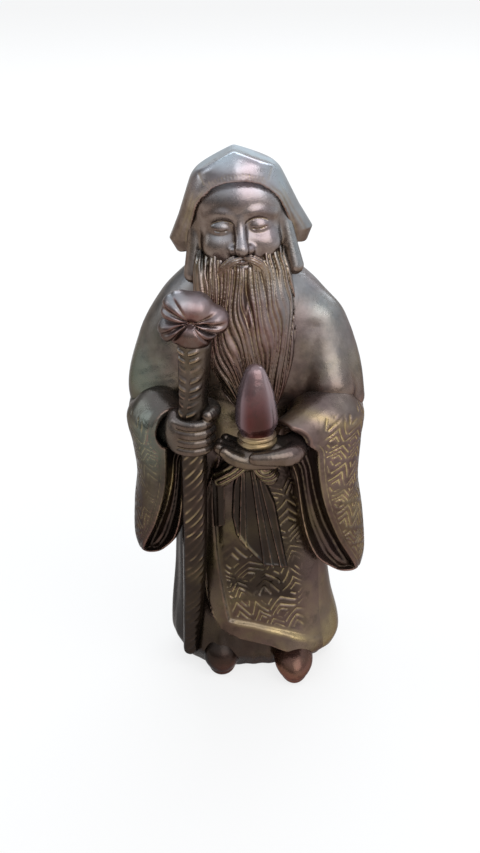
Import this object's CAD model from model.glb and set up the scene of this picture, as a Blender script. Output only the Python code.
import math

import bpy
import numpy as np
from mathutils import Matrix, Vector


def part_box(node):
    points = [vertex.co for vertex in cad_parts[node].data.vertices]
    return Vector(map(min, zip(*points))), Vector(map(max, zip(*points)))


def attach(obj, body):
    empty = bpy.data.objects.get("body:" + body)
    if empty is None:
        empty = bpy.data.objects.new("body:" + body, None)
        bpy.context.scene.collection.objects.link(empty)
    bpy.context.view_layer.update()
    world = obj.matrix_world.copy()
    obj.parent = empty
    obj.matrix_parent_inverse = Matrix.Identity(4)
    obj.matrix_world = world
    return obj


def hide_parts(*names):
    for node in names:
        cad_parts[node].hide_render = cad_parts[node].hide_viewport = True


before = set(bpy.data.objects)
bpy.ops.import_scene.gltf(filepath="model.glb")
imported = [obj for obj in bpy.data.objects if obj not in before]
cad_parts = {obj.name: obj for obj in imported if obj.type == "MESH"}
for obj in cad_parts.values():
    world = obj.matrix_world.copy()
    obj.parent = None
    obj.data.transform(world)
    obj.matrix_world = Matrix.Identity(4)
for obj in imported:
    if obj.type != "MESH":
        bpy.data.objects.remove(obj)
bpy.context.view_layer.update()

bl_info = {
    "name": "Bronze Sage",
    "version": (1, 0, 0),
    "blender": (4, 5, 0),
    "location": "View3D > Sidebar > Sage",
    "description": "Sculpts a patinated bronze figure of a sage with a staff and a peach",
    "category": "Add Mesh",
}

MM = 0.001
ROBE_LOW, ROBE_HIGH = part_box("robe")
# The sculpting frame is in millimetres, and the middle of the robe's box lies at this depth in it.
ROBE_MIDDLE_Y = 0.4
SHIFT_Y = (ROBE_LOW.y + ROBE_HIGH.y) / 2 / MM - ROBE_MIDDLE_Y
BLOCK = 8
# How far round a point the surface is smoothed to find its grooves and its hollows.
GROOVE_SPAN, HOLLOW_SPAN = 1.2, 9.0
# Each piece's lattice step, finer where its relief is.
CELLS = {
    "robe": 0.82, "front_panel": 0.42, "right_sleeve": 0.44, "left_sleeve": 0.44,
    "head": 0.34, "hat": 0.46, "beard": 0.35, "staff": 0.35, "staff_knob": 0.35,
    "right_hand": 0.31, "left_hand": 0.31, "peach": 0.31,
    "sash_bow": 0.32, "sash_tails": 0.32, "right_shoe": 0.38, "left_shoe": 0.38,
}


# Curves and blends

def curve(keys, values):
    """A function through keyed values that never overshoots them."""
    keys, values = np.asarray(keys, float), np.asarray(values, float)
    rise = np.diff(values) / np.diff(keys)
    both = rise[:-1] * rise[1:]
    inner = np.where(both > 0, 2 * both / np.where(both > 0, rise[:-1] + rise[1:], 1), 0)
    slope = np.concatenate([rise[:1], inner, rise[-1:]])
    grid = np.linspace(keys[0], keys[-1], 600)
    i = np.clip(np.searchsorted(keys, grid, side="right") - 1, 0, len(keys) - 2)
    span = keys[i + 1] - keys[i]
    t = (grid - keys[i]) / span
    table = values[i] + (values[i + 1] - values[i]) * t * t * (3 - 2 * t)
    table += t * (1 - t) * span * ((1 - t) * slope[i] - t * slope[i + 1])
    return lambda key: np.interp(key, grid, table)


def spline(points, count):
    """Points at even steps along a smooth curve through a few."""
    points = np.asarray(points, float)
    ends = np.vstack([2 * points[0] - points[1], points, 2 * points[-1] - points[-2]])
    at = np.linspace(0, len(points) - 1, count)
    i = np.minimum(at.astype(int), len(points) - 2)
    t = (at - i)[:, None]
    a, b, c, d = (ends[i + k] for k in range(4))
    bend = t * (c - a + t * (2 * a - 5 * b + 4 * c - d + t * (3 * (b - c) + d - a)))
    return b + bend / 2


def mix(a, b, share):
    return a + (b - a) * share


def ease(value, low, high):
    """0 at low and 1 at high, smooth between. Low may be the larger."""
    t = np.clip((value - low) / (high - low), 0, 1)
    return t * t * (3 - 2 * t)


def melt(a, b, soft):
    """The nearer of two fields, melted together where they meet."""
    t = np.clip(0.5 + (b - a) / (2 * soft), 0, 1)
    return mix(b, a, t) - soft * t * (1 - t)


def carve(a, tool, soft):
    """A field with a tool cut out of it, with a soft rim."""
    return -melt(-a, tool, soft)


def both(a, b, soft):
    return -melt(-a, -b, soft)


# Fields: distances in millimetres from points, given as three rows, to a surface

def oval(x, y, half_width, half_depth, squareness):
    """Distance to a superellipse along the ray from its middle."""
    shape = np.abs(x / half_width) ** squareness + np.abs(y / half_depth) ** squareness
    ray = np.hypot(x, y)
    return ray - ray / np.maximum(shape, 1e-9) ** (1 / squareness)


def ball(p, centre, radii):
    """Distance to an ellipsoid."""
    radii = np.broadcast_to(np.asarray(radii, float), 3)[:, None]
    q = (p - np.asarray(centre, float)[:, None]) / radii
    size = np.sqrt((q * q).sum(0))
    return size * (size - 1) / np.maximum(np.sqrt(((q / radii) ** 2).sum(0)), 1e-9)


def limb(p, path, radii=0.0):
    """Distance to a path whose radius may change along it."""
    path = np.asarray(path, float)
    radii = np.broadcast_to(np.asarray(radii, float), len(path))
    best = np.full(p.shape[1], np.inf)
    for a, b, thick, thin in zip(path, path[1:], radii, radii[1:]):
        way = (b - a)[:, None]
        off = p - a[:, None]
        t = np.clip((way * off).sum(0) / (way * way).sum(), 0, 1)
        off = off - way * t
        best = np.minimum(best, np.sqrt((off * off).sum(0)) - mix(thick, thin, t))
    return best


def bend(p, path, radii, count=14):
    """A limb along a smooth curve through a few points."""
    share = np.linspace(0, 1, count)
    return limb(p, spline(path, count), curve(np.linspace(0, 1, len(radii)), radii)(share))


def line(u, v, path, width):
    """1 on a drawn line and 0 away from it."""
    return bell(limb(np.stack([u, v]), path), width)


def region(u, v, corners):
    """Distance to a closed outline in a plane, negative inside."""
    loop = [*corners, corners[0]]
    inside = np.zeros(u.shape, bool)
    for (a, b), (c, d) in zip(loop, loop[1:]):
        if b != d:
            inside ^= ((b > v) != (d > v)) & (u < (c - a) * (v - b) / (d - b) + a)
    return limb(np.stack([u, v]), loop) * np.where(inside, -1, 1)


def wave(value):
    return 0.5 + 0.5 * np.cos(value)


def bell(value, width):
    """1 at 0, falling away softly on both sides."""
    return np.exp(-((value / width) ** 2))


# Meshes

def crossings(values):
    """For each lattice edge that the surface crosses: its lower end, axis, share and side."""
    inside = values < 0
    for axis in range(3):
        step = np.eye(3, dtype=int)[axis]
        low = [slice(None)] * 3
        high = [slice(None)] * 3
        low[axis], high[axis] = slice(None, -1), slice(1, None)
        edge = np.argwhere(inside[tuple(low)] != inside[tuple(high)])
        a, b = values[tuple(edge.T)], values[tuple((edge + step).T)]
        yield axis, edge, edge + step * (a / (a - b))[:, None], a < 0


def net(values):
    """Points and quads of the surface where a lattice of values changes sign."""
    cells, places, quads = [], [], []
    for axis, edge, place, first_inside in crossings(values):
        u, v = np.eye(3, dtype=int)[[(axis + 1) % 3, (axis + 2) % 3]]
        ring = [np.ravel_multi_index((edge - o).T, values.shape) for o in (0 * u, u, u + v, v)]
        cells += ring
        places += [place] * 4
        loop = np.stack(ring, 1)
        quads.append(np.where(first_inside[:, None], loop, loop[:, ::-1]))
    names, where = np.unique(np.concatenate(cells), return_inverse=True)
    count = np.bincount(where)
    places = np.concatenate(places)
    points = np.stack([np.bincount(where, places[:, k]) / count for k in range(3)], 1)
    return points, np.searchsorted(names, np.concatenate(quads))


def polygonise(field, low, high, cell):
    """The field's surface in a box. Only the blocks that it may cross are looked at closely."""
    low = np.asarray(low, float)
    blocks = np.ceil((np.asarray(high, float) - low) / (BLOCK * cell)).astype(int)
    corners = np.indices(blocks).reshape(3, -1).T * BLOCK
    middles = low + cell * (corners + (BLOCK - 1) / 2)
    rough = field(middles.T)
    values = rough.reshape(blocks)
    for axis in range(3):
        values = np.repeat(values, BLOCK, axis)
    near = np.abs(rough) < BLOCK * cell * 1.35
    inner = np.indices((BLOCK,) * 3).reshape(3, -1).T
    index = (corners[near][:, None] + inner).reshape(-1, 3)
    values[tuple(index.T)] = field((low + cell * index).T)
    for axis in range(3):
        ends = np.moveaxis(values, axis, 0)[[0, -1]]
        np.moveaxis(values, axis, 0)[[0, -1]] = np.maximum(ends, 0.1 * cell)
    points, quads = net(values)
    return settle(field, low + cell * points, cell), quads


def settle(field, points, cell):
    """Points moved onto the surface."""
    for _ in range(2):
        slope = np.stack([
            field((points + d).T) - field((points - d).T) for d in np.eye(3) * cell * 0.25
        ], 1) / (cell * 0.5)
        steep = np.maximum((slope * slope).sum(1), 0.25)
        move = np.clip(field(points.T) / steep, -cell, cell)
        points = points - slope * move[:, None] * 0.8
    return points


def hollows(points, quads, normals, rounds):
    """How far each point lies below the smoothed surface."""
    a = quads.ravel()
    b = np.roll(quads, -1, 1).ravel()
    ends, others = np.concatenate([a, b]), np.concatenate([b, a])
    count = np.bincount(ends)
    smooth = points
    for _ in range(rounds):
        near = [np.bincount(ends, smooth[others, k]) / count for k in range(3)]
        smooth = mix(smooth, np.stack(near, 1), 0.6)
    return ((smooth - points) * normals).sum(1)


def around(node, margin=3.0):
    """A node's box in the sculpting frame, with room for relief."""
    low, high = (np.array(corner) / MM - (0, SHIFT_Y, 0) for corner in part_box(node))
    return low - margin, high + margin


def make_piece(name, field, box, slot, material, gilt=None, node=None):
    """Sculpts one piece and marks its grooves, its hollows, and its gilt or, below 0, waxed places."""
    node = node or name
    cell = CELLS[name] * 1
    points, quads = polygonise(field, *box, cell)
    mesh = bpy.data.meshes.new(name)
    mesh.from_pydata(((points + (0, SHIFT_Y, 0)) * MM).tolist(), [], quads.tolist())
    mesh.shade_smooth()
    normals = np.empty(len(points) * 3)
    mesh.vertices.foreach_get("normal", normals)
    normals = normals.reshape(-1, 3)
    fine = hollows(points, quads, normals, max(2, round(GROOVE_SPAN / cell)))
    wide = hollows(points, quads, normals, round(HOLLOW_SPAN / cell))
    lines = gilt(points.T) if gilt else np.zeros(len(points))
    for key, value in (("groove", fine), ("hollow", wide), ("gilt", lines)):
        attribute = mesh.attributes.new(key, "FLOAT", "POINT")
        attribute.data.foreach_set("value", value.astype(np.float32))
    piece = bpy.data.objects.new(name, mesh)
    bpy.context.scene.collection.objects.link(piece)
    mesh.materials.append(material)
    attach(piece, "root")
    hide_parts(node)


# Shader maths

class Socket:
    """A shader socket, so that maths on sockets reads as maths."""

    def __init__(self, tree, socket):
        self.tree = tree
        self.socket = socket

    def node(self, kind, inputs=(), output=0, **settings):
        """A new node of a kind, with its settings and then its inputs set or linked."""
        made = self.tree.nodes.new("ShaderNode" + kind)
        for key, value in settings.items():
            setattr(made, key, value)
        for key, value in dict(inputs).items():
            if isinstance(value, Socket):
                self.tree.links.new(value.socket, made.inputs[key])
            else:
                made.inputs[key].default_value = value
        return Socket(self.tree, made.outputs[output])

    def maths(self, operation, a, b=0.0, clamp=False):
        return self.node("Math", {0: a, 1: b}, operation=operation, use_clamp=clamp)

    def __add__(self, other):
        return self.maths("ADD", self, other)

    __radd__ = __add__

    def __sub__(self, other):
        return self.maths("SUBTRACT", self, other)

    def __rsub__(self, other):
        return self.maths("SUBTRACT", other, self)

    def __mul__(self, other):
        return self.maths("MULTIPLY", self, other)

    __rmul__ = __mul__

    def clamped(self):
        return self.maths("ADD", self, 0.0, clamp=True)

    def step(self, low, high):
        """0 below low, 1 above high, smooth between."""
        values = {0: self, 1: low, 2: high, 3: 0.0, 4: 1.0}
        return self.node("MapRange", values, interpolation_type="SMOOTHSTEP")

    def blend(self, a, b):
        """Colour a where this is 0, and b where it is 1."""
        return self.node("Mix", {0: self, 6: a, 7: b}, output=2, data_type="RGBA")


def rgba(colour):
    return (*colour, 1.0)


def new_material(name):
    """An empty material with a Principled shader, and the socket that starts its maths."""
    material = bpy.data.materials.new(name)
    material.use_nodes = True
    tree = material.node_tree
    shader = tree.nodes["Principled BSDF"]
    return material, shader, Socket(tree, None)


def feed(start, shader, **values):
    for key, value in values.items():
        start.tree.links.new(value.socket, shader.inputs[key.replace("_", " ")])


def bronze(name, finish, base, tint, wash, gold, roughness, handled=1.0, flanks=0.0, metal=1.0):
    """Patinated bronze: brassy in its grooves, dark in its depths, rubbed red on its crests."""
    found = bpy.data.materials.get(name)
    if found:
        return found
    material, shader, start = new_material(name)
    place = start.node("TexCoord", output=3)
    groove = start.node("Attribute", output=2, attribute_name="groove")
    hollow = start.node("Attribute", output=2, attribute_name="hollow")
    gilt = start.node("Attribute", output=2, attribute_name="gilt")

    def noise(scale, detail, rough=0.55):
        values = {"Vector": place, "Scale": scale, "Detail": detail, "Roughness": rough}
        return start.node("TexNoise", values)

    across = start.node("SeparateXYZ", {0: place}, output=0)
    height = start.node("SeparateXYZ", {0: place}, output=2)
    normal = start.node("NewGeometry", output=1)
    facing = start.node("VectorMath", {0: normal, 1: (0.35, 0, 0.94)}, "Value", operation="DOT_PRODUCT")
    sideways = start.maths("ABSOLUTE", start.node("SeparateXYZ", {0: normal}, output=0))
    rise = height.step(0.06, 0.15)
    cloud = noise(60, 3).step(0.38, 0.64)
    drift = noise(28, 2).step(0.4, 0.62)
    sheen = noise(42, 3).step(0.48, 0.7)
    mottle = noise(190, 4, 0.65)
    speck = noise(600, 3, 0.7)
    grain = noise(2600, 2)
    patina = (cloud * wash).blend(rgba(base), rgba(finish.olive))
    patina = (drift * 0.8).blend(patina, rgba(tint))
    patina = (sheen * (0.2 + 0.7 * speck) * gold).blend(patina, rgba(finish.sheen))
    patina = (mottle.step(0.5, 0.7) * 0.5).blend(patina, rgba(finish.dark))
    patina = (rise * (0.25 + 0.5 * mottle.step(0.6, 0.35)) * handled).blend(patina, rgba(finish.pale))
    shade = across.step(0.0, -0.03) * (1 - rise)
    patina = (shade * 0.65).blend(patina, rgba(finish.dark))
    green = across.step(-0.019, -0.031) * height.step(0.06, 0.1) * (0.2 + 0.3 * cloud)
    patina = green.blend(patina, rgba(finish.verdigris))
    bloom = facing.step(0.0, 0.85) * (0.12 + 0.88 * height.step(0.09, 0.18)) * (0.7 + 0.6 * speck)
    bloom = bloom + 0.45 * height.step(0.164, 0.172)
    bloom = bloom + flanks * (sideways.step(0.2, 1.0) + 0.7 * height.step(0.104, 0.122))
    cool = (drift + 2 * flanks).clamped().blend(rgba(finish.bloom), rgba(finish.mauve))
    patina = (bloom * finish.bloom_share).clamped().blend(patina, cool)
    crest = (-1.0 * groove).step(0.02, 0.14) * (0.3 + 0.7 * cloud)
    patina = (crest * 0.6).blend(patina, rgba(finish.rubbed))
    cut = groove.step(0.015, 0.12)
    worn = (0.3 + 0.7 * drift) * (1.2 - 0.6 * speck) * gold
    deep = (hollow.step(0.6, 1.8) - gilt.clamped()).clamped()
    brass = (cut * worn * (1 - 0.6 * deep) + gilt * (0.35 + 0.55 * cloud)).clamped()
    colour = brass.blend(patina, rgba(finish.brass))
    colour = (-0.9 * gilt).clamped().blend(colour, rgba(finish.soot))
    colour = (deep * 0.8).blend(colour, rgba(finish.soot))
    gloss = roughness + 0.2 * (speck - 0.5) + 0.1 * cut - 0.05 * crest + 0.1 * deep - 0.14 * cloud
    bump = start.node("Bump", {"Strength": 0.2, "Distance": 0.0002, "Height": grain + 2 * speck + 3 * mottle})
    feed(start, shader, Base_Color=colour, Roughness=gloss.clamped(), Normal=bump)
    shader.inputs["Metallic"].default_value = finish.metal * metal
    shader.inputs["Coat Weight"].default_value = finish.lacquer
    shader.inputs["Coat Roughness"].default_value = 0.18
    shader.inputs["Coat IOR"].default_value = 1.35
    shader.inputs["Specular Tint"].default_value = rgba(finish.edge)
    return material


def cloth_bronze(finish):
    return bronze("robe_bronze", finish, finish.patina, finish.purple, 1.0, 0.65, 0.38)


def sash_bronze(finish):
    return bronze("sash_bronze", finish, finish.soot, finish.dark, 0.1, 0.4, 0.36)


def skin_bronze(finish):
    return bronze("skin_bronze", finish, finish.patina, finish.purple, 0.3, 0.45, 0.31)


def hair_bronze(finish):
    return bronze("hair_bronze", finish, finish.patina, finish.red, 0.6, 0.55, 0.33)


def bark_bronze(finish):
    return bronze("bark_bronze", finish, finish.dark, finish.patina, 0.2, 0.5, 0.4, 0.7)


def fruit_bronze(finish):
    return bronze("fruit_bronze", finish, finish.ruby, finish.red, 0.0, 0.2, 0.24, 0.1, 0.42, 0.75)


def burl_bronze(finish):
    return bronze("burl_bronze", finish, finish.ruby, finish.red, 0.2, 0.35, 0.38, 0.8)


def shoe_bronze(finish):
    return bronze("shoe_bronze", finish, finish.dark, finish.red, 0.3, 0.4, 0.38)


# Robe

ELBOW_Z = 101.0
COLLAR_Z, COLLAR_LEAN = 143.0, 4.0
ROBE_SQUARENESS = 2.3
LAP_STEP = 2.0
UNDERLAP = 0.35
RIGHT_SHOE_X, LEFT_SHOE_X = -11.0, 13.6
SKIRT_KEYS = (0, 9, 36, 80, 114)
skirt_width = curve(SKIRT_KEYS, (50, 58, 53, 48, 52))
skirt_depth = curve(SKIRT_KEYS, (31, 39.5, 39, 37, 36))
MANTLE_DIP = 6.0
MANTLE_KEYS = (ELBOW_Z - MANTLE_DIP, ELBOW_Z, 119, 133, COLLAR_Z)
mantle_width = curve(MANTLE_KEYS, (74.6, 76, 67, 51, 30))
mantle_depth = curve(MANTLE_KEYS, (36.5, 37, 36, 31, 25))
# The front panel's free edge down the right leg, its hem, and the inner line of its border.
PANEL_EDGE = ((-8, 86), (-15, 64), (-15.6, 48), (-14.6, 29), (-11, 19), (-4.7, 15.2), (6, 12), (14, 8.6),
              (22, 5.2), (32, 2))
BORDER = ((-11, 86), (-11.4, 64), (-11, 48), (-9.7, 34.4), (-7.9, 22.3), (0.5, 20.3), (12, 16.2), (24, 10.5),
          (34, 6))
PANEL_BOX = (-20, -25, -2), (34, 4, 88)


def lean(z):
    return COLLAR_LEAN * z / COLLAR_Z


def skirt(p, inset=0.0):
    """The skirt's distance, with its left hem spread a little."""
    x, y, z = p
    spread = 1.6 * ease(x, 14, 26) * ease(z, 24, 8)
    half_width, half_depth = skirt_width(z) / 2 - inset, skirt_depth(z) / 2 - inset
    return oval(x, y - lean(z), half_width, half_depth, ROBE_SQUARENESS) - spread


def flutes(p):
    """Soft flutes down the back and sides, which fade out towards the shoulders."""
    x, y, z = p
    ahead = lean(z) - y
    across = np.sign(x) * np.abs(2 * x / skirt_width(z)) ** 1.15
    turn = np.arctan2(across, np.sign(ahead) * np.abs(2 * ahead / skirt_depth(z)) ** 1.15)
    back = ease(-np.cos(turn), -0.1, 0.6)
    return 0.9 * back * (1 - ease(z, 36, ELBOW_Z)) * np.cos(9 * turn)


def beside(path):
    """A function for the distance to a line in the front plane, positive on the figure's left of it."""
    line_x = curve(*zip(*((z, x) for x, z in path[::-1])))
    return lambda x, z: limb(np.stack([x, z]), path) * np.where(x > line_x(z), 1, -1)


panel_side, panel_border = beside(PANEL_EDGE), beside(BORDER)


def over_shoe(x, z, middle):
    """1 where the cloth rides up over a shoe and 0 away from it."""
    return bell(x - middle, 6) * bell(z - 9, 6)


def robe_field(p, robe):
    x, y, z = p
    front = ease(lean(z) - y, -3, 3)
    under = ease(-panel_side(x, z), -0.5, 0.5) * front * ease(z, 86, 78)
    body = skirt(p) - flutes(p) + UNDERLAP + (LAP_STEP - UNDERLAP) * under
    covered = ease(panel_side(x, z), 0.6, 1.8) * front * ease(z, 80, 70) * ease(x, 22, 18.5)
    body = body + 1.6 * covered - 3.0 * over_shoe(x, z, RIGHT_SHOE_X) * front
    legs = under * robe.fold_depth / MM * 0.5 * wave(x * 1.15 + 0.06 * z)
    body = both(body - legs, -z, 1.2)
    body = both(body, z - 112, 2)
    shoulders = oval(x, y - lean(z), mantle_width(z) / 2, mantle_depth(z) / 2, ROBE_SQUARENESS)
    side = np.abs(x)
    dip = MANTLE_DIP * ease(side, 31, 36) * ease(-y, -12, -4)
    shoulders = both(shoulders, ELBOW_Z - dip - z, mix(3.5, 0.8, ease(side, 30, 36)))
    shoulders = both(shoulders, z - COLLAR_Z, 2.5)
    valley = line(side, z, ((22.5, 124), (21.4, 114), (19.6, 100)), 2.6) * ease(-y, 4, 10)
    crease = line(side, z, ((37.5, 103.5), (31, 107), (23, 109.5)), 1.6) * ease(-y, -4, 3)
    pull = line(side, z, ((38, 108.5), (33, 110), (28, 113.5)), 1.3) * ease(-y, -4, 4)
    shoulders = shoulders + 1.0 * valley + (0.5 * crease + 0.35 * pull) * ease(side, 36, 32)
    elbow = bend(p, [(24.5, -1, 122), (26.5, -6, 113), (27.5, -12.5, 104.5)], (6.5, 7.2, 7.4), 8)
    elbow = melt(elbow, bend(p, [(26.5, -2, 124), (30.5, -5, 112), (33, -9, 99.5)], (4.5, 5, 5), 8), 2)
    elbow = both(elbow, 96 - z, 3.5)
    shoulders = melt(shoulders, elbow, 8)
    whole = melt(body, shoulders, 3.5)
    core = np.maximum(skirt(p, 5.0), z - 108)
    neck = np.maximum(np.hypot(x, y - lean(COLLAR_Z)) - 7.8, 132 - z)
    return carve(carve(whole, core, 0.8), neck, 0.8)


def robe_gilt(p):
    """Dark wax by the panel, on the right flank and in the elbows' folds, and brass low on the left."""
    x, y, z = p
    under = ease(-panel_side(x, z), -0.3, 1.5) * ease(lean(z) - y, 0, 5) * ease(z, 86, 78)
    flank = ease(-x, 14, 24) * ease(z, 100, 70)
    fold = line(np.abs(x), z, ((33, 100.5), (27, 103), (20, 104.5)), 1.8) * ease(-y, 0, 6)
    worn = 0.3 * ease(x, 18, 24) * ease(z, 40, 22)
    return worn - 0.8 * np.maximum(np.maximum(under, 0.9 * flank), 0.8 * fold)


# The strokes of half a bend of the fret, in shares of its pitch.
FRET_LINES = (
    ((0.06, 0.1), (0.5, 0.54), (0.94, 0.1)),
    ((0.06, 0.42), (0.5, 0.86), (0.94, 0.42)),
    ((0.3, 0.08), (0.5, 0.28), (0.7, 0.08)),
    ((0.06, 0.74), (0.2, 0.88)),
    ((0.8, 0.88), (0.94, 0.74)),
)


def fret(u, v, pitch):
    """Distance to the lines of a zigzag fret with a bar in each bend, spaced a little unevenly."""
    u, v = u + 1.3 * np.sin(0.27 * u + 0.17 * v), v + 1.1 * np.sin(0.31 * v - 0.14 * u + 1.0)
    row = np.floor(v / pitch)
    w = v - row * pitch
    k = np.mod(u + 0.5 * pitch * np.mod(row, 2), 2 * pitch)
    q = np.stack([np.minimum(k, 2 * pitch - k), w]) / pitch
    return pitch * np.min([limb(q, path) for path in FRET_LINES], 0)


def etch(distance, x, z, robe):
    """1 along the middle of an engraved line and 0 away from it or where it is worn off."""
    wear = np.sin(0.31 * x + 1.1) * np.sin(0.23 * z + 0.4) + 0.5 * np.sin(0.7 * x - 0.5 * z)
    return np.exp(-(distance / (robe.fret_width / MM)) ** 4) * (1 - 0.75 * ease(wear, 0.2, 1.0))


def panel_ground(p):
    """1 on the panel between its border and the flank, where the fret lies."""
    x, y, z = p
    plain = ease(panel_border(x, z), 1.4, 1.9) * ease(x, 18.5, 14) * ease(-y, 5, 8)
    return plain * (1 - ease(z, 48, 52) * ease(x, 4, 2))


def panel_lines(p, robe):
    x, z = p[0], p[2]
    pattern = fret(x * 0.94 + z * 0.2, z * 0.94 - 0.2 * x + 3, robe.fret_pitch / MM)
    return etch(pattern, x, z, robe) * panel_ground(p)


def panel_dent(x, z):
    """Soft hollows that cross the panel below the sash."""
    return line(x, z, ((2, 41), (4, 34), (12, 30)), 2.5) + line(x, z, ((-6, 37), (2, 33.5), (9, 36)), 1.5)


def panel_gilt(p, robe):
    """The fret's lines and the bright worn ledge along the border."""
    x, z = p[0], p[2]
    ledge = bell(panel_border(x, z) + 0.2, 0.75) * ease(x, -9, -4) * ease(x, 24, 12)
    shade = 0.6 * ease(z, 26, 38) * (1 - 0.6 * ease(x, 14, 24)) + 0.7 * panel_dent(x, z)
    shade = shade + 0.3 * panel_ground(p)
    worn = 0.22 * bell(panel_border(x, z) - 3, 3.5) * ease(x, -9, -4)
    return np.clip(1.25 * panel_lines(p, robe) + 1.3 * ledge + worn - shade, -1, 1)


def panel_field(p, robe):
    x, y, z = p
    skin = skirt(p)
    inside = panel_side(x, z)
    band = ease(-panel_border(x, z), -0.7, 0.6) * ease(x, 25, 17)
    pleat = wave(1.1 * x + 0.05 * z) * ease(z, 40, 62) * ease(x, -3, -6) * ease(inside, 0.5, 4)
    relief = 1.25 * band - robe.fret_depth / MM * panel_lines(p, robe)
    relief = relief + 0.6 * robe.fold_depth / MM * pleat - 0.7 * panel_dent(x, z)
    relief = relief - 0.7 * ease(x, 20, 27) - 0.7 * ease(z, 74, 84) + 2.4 * over_shoe(x, z, LEFT_SHOE_X)
    sheet = both(skin - relief + 0.1, -(skin + LAP_STEP + 0.9), 0.6)
    sheet = both(sheet, -inside, 0.7)
    return np.maximum(sheet, np.maximum(y - lean(z) + 2, np.maximum(z - 85, 1.2 - z)))


# Sleeves

TIP_X, OUTER_X, REAR_Y = 30.4, 38.0, 18.5
SLEEVE_SQUARENESS = 2.4
SLEEVE_KEYS = (0, 0.05, 0.16, 0.35, 0.58, 0.8, 0.93, 1, 1.06, 1.1)
sleeve_outset = curve(SLEEVE_KEYS, (0.942, 0.99, 1.013, 0.995, 0.953, 0.979, 1.0, 0.992, 0.965, 0.93))
sleeve_inward = curve(SLEEVE_KEYS, (0, 0.24, 0.6, 0.8, 0.9, 1, 1, 0.88, 0.6, 0.25))
sleeve_forward = curve(SLEEVE_KEYS, (0.36, 0.55, 0.72, 0.83, 0.91, 1, 0.98, 0.92, 0.8, 0.66))
sleeve_back = curve(SLEEVE_KEYS, (-0.05, 0.16, 0.32, 0.49, 0.6, 0.76, 0.86, 0.86, 0.76, 0.6))
mouth_share = curve((0, 0.1, 0.34, 0.6, 0.82, 0.88, 0.95, 1), (0.9, 0.78, 0.54, 0.42, 0.39, 0.33, 0.12, 0.05))


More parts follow.
